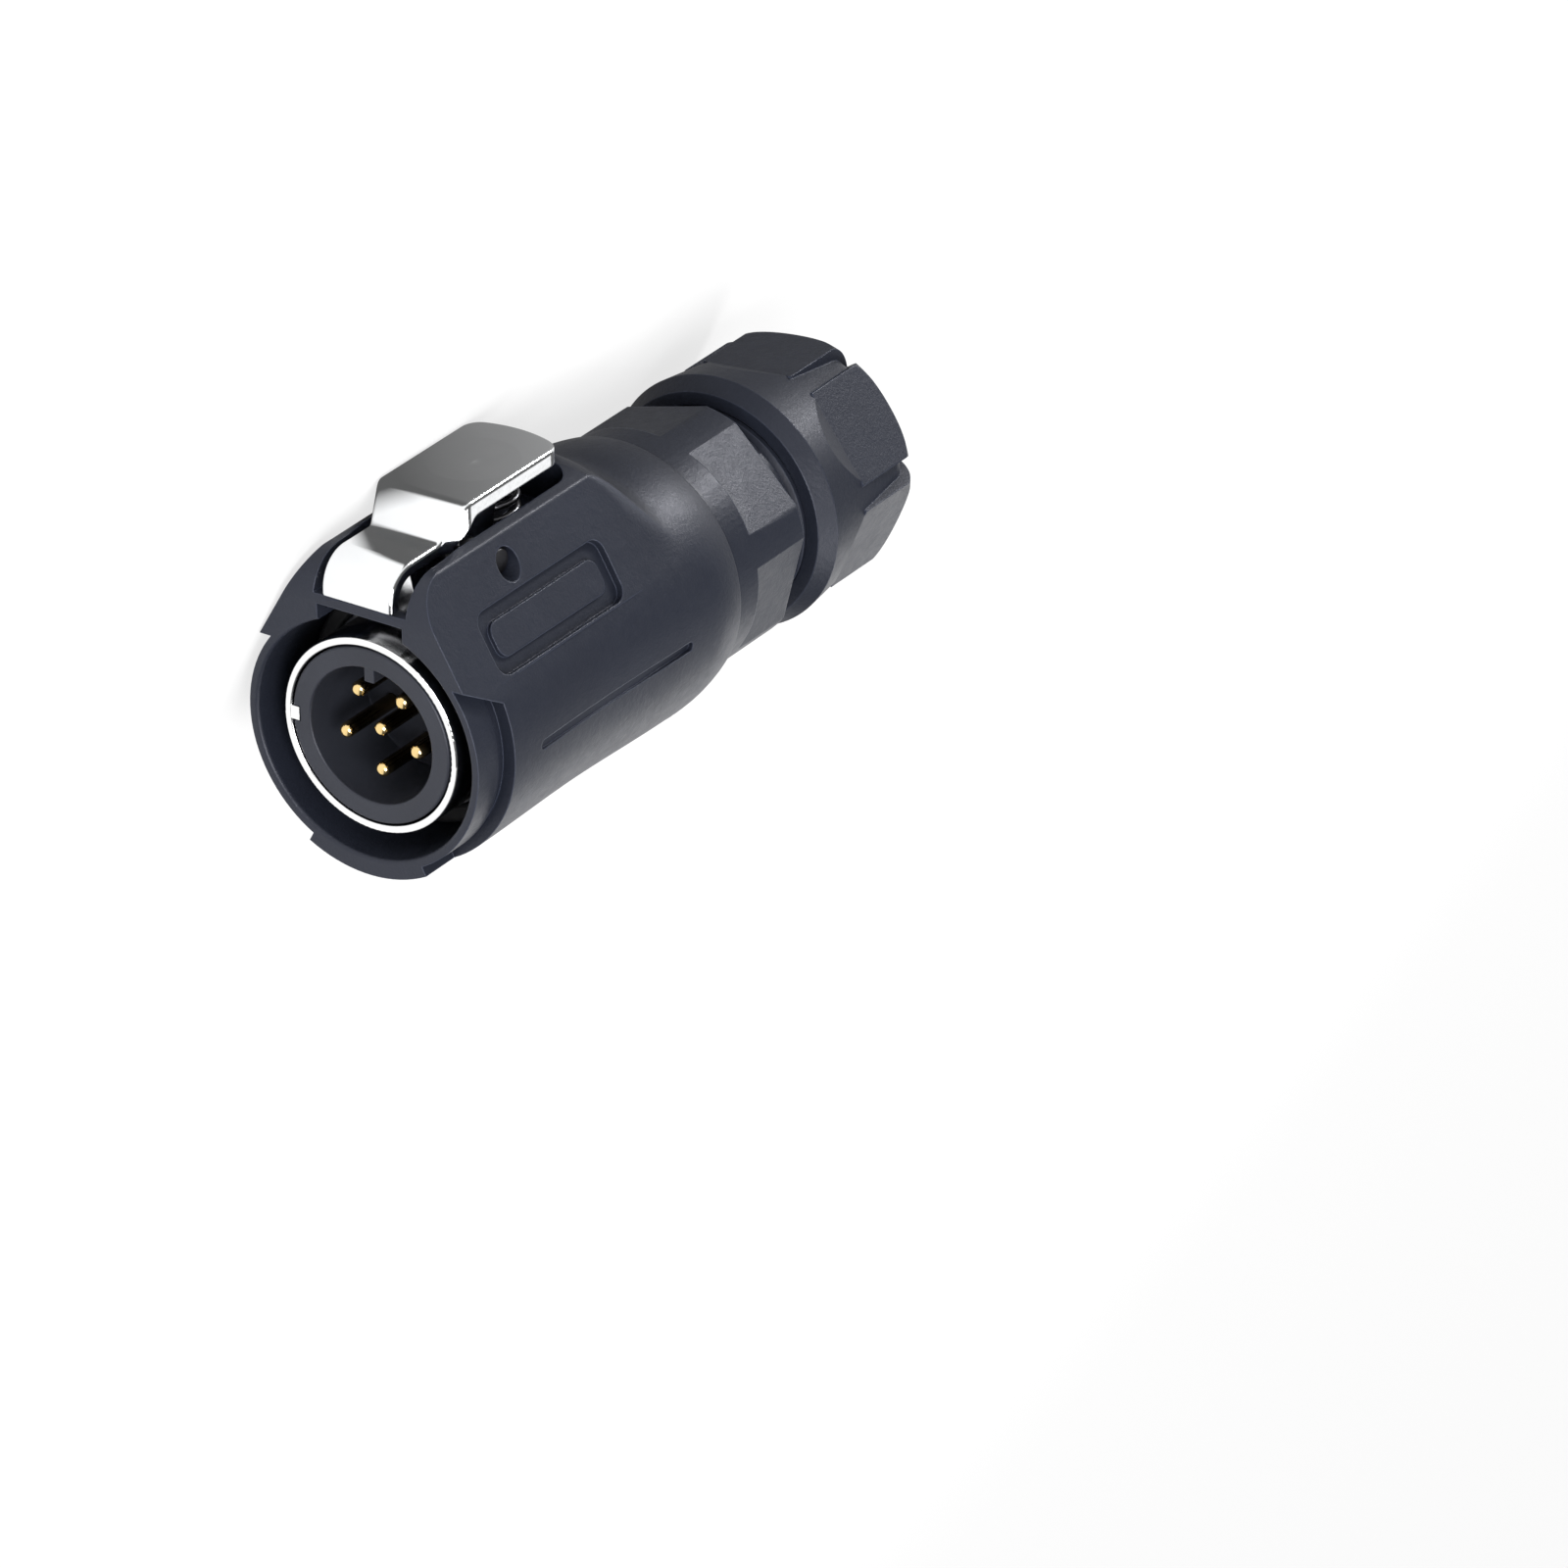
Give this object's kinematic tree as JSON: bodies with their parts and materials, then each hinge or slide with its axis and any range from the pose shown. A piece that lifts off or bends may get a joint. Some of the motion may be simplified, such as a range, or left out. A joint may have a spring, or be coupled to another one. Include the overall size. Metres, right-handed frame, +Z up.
{
  "type": "circular cable plug connector",
  "caption": "Round multi-pin cable plug with a sprung push latch on its black shell, a keyed metal mating sleeve, a screwed rear body and a cable gland nut.",
  "frame": {"origin": "centre of the metal sleeve's front edge, on the plug's axis", "axes": "+X along the plug's axis towards the cable end, +Z up with the plug lying on its side as it comes to rest, the latch towards +Y"},
  "size_m": [0.0751, 0.036, 0.0286],
  "materials": {
    "shell_plastic": "satin-matte moulded glass-filled plastic, near black with a cool cast",
    "latch_chrome": "bright chrome plating on a zinc casting",
    "sleeve_nickel": "bright nickel plating with a slightly soft reflection",
    "pin_steel": "ground steel pin",
    "spring_steel": "drawn spring wire",
    "insert_plastic": "fine matte moulded black plastic",
    "seal_rubber": "smooth black seal rubber",
    "grommet_rubber": "soft black rubber",
    "claw_plastic": "smooth black nylon",
    "washer_brass": "turned brass",
    "contact_gold": "gold plating, polished"
  },
  "bodies": {
    "shell": {"front_shell": "shell_plastic", "latch_pin": "pin_steel", "latch_spring": "spring_steel", "coupling_sleeve": "sleeve_nickel", "pin_insert": "insert_plastic", "insert_ring": "seal_rubber", "contact_keeper": "insert_plastic", "insert_retainer": "insert_plastic", "mating_seal": "seal_rubber", "contact_pin_1": "contact_gold", "contact_pin_2": "contact_gold", "contact_pin_3": "contact_gold", "contact_pin_4": "contact_gold", "contact_pin_5": "contact_gold", "contact_pin_6": "contact_gold"},
    "latch": {"push_latch": "latch_chrome"},
    "rear_seal": {"shell_seal": "seal_rubber"},
    "rear": {"rear_body": "shell_plastic", "clamp_claw": "claw_plastic", "cable_grommet": "grommet_rubber"},
    "washer": {"slip_washer": "washer_brass"},
    "nut": {"gland_nut": "shell_plastic"}
  },
  "joints": [
    {"name": "latch_press", "type": "hinge", "parent": "shell", "child": "latch", "pos_m": [0.012, 0.01341, -0.00673], "axis": [0, -0.4486, -0.8937], "range_deg": [0, 7], "stiffness_Nm_per_rad": 0.12, "springref_deg": -8.59, "deforming": ["latch_spring"]},
    {"name": "rear_travel", "type": "slide", "parent": "shell", "child": "rear_seal", "axis": [1, 0, 0], "range_m": [0, 0.0075]},
    {"name": "rear_unscrew", "type": "hinge", "parent": "rear_seal", "child": "rear", "pos_m": [0.036, 0, 0], "axis": [1, 0, 0], "range_deg": [0, 1801]},
    {"name": "nut_travel", "type": "slide", "parent": "rear", "child": "washer", "axis": [1, 0, 0], "range_m": [0, 0.0075]},
    {"name": "nut_unscrew", "type": "hinge", "parent": "washer", "child": "nut", "pos_m": [0.061, 0, 0], "axis": [1, 0, 0], "range_deg": [0, 1801]}
  ],
  "couplings": [
    {"joint": "rear_unscrew", "follows": "rear_travel", "rad_per_m": 4188.8},
    {"joint": "nut_unscrew", "follows": "nut_travel", "rad_per_m": 4188.8}
  ]
}
